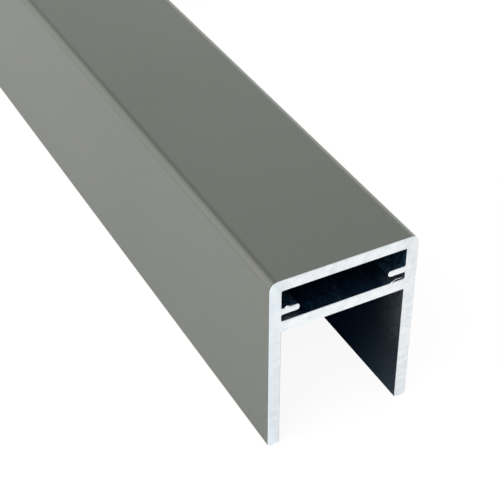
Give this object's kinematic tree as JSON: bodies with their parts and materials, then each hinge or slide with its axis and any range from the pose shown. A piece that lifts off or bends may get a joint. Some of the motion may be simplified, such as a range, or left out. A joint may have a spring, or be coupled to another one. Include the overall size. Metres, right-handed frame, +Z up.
{
  "type": "aluminium channel profile",
  "caption": "Extruded aluminium channel bar with a closed cell along its top, inner fins and two legs that grip the edge of a panel.",
  "frame": {"origin": "under the middle of the bar, on the plane that the two legs stand on", "axes": "+Y along the bar, +X across its width, +Z up from the feet of the legs to the flat top"},
  "size_m": [0.025, 1, 0.032],
  "materials": {
    "coated_aluminium": "satin"
  },
  "bodies": {
    "root": {"channel_profile": "coated_aluminium"}
  },
  "joints": []
}
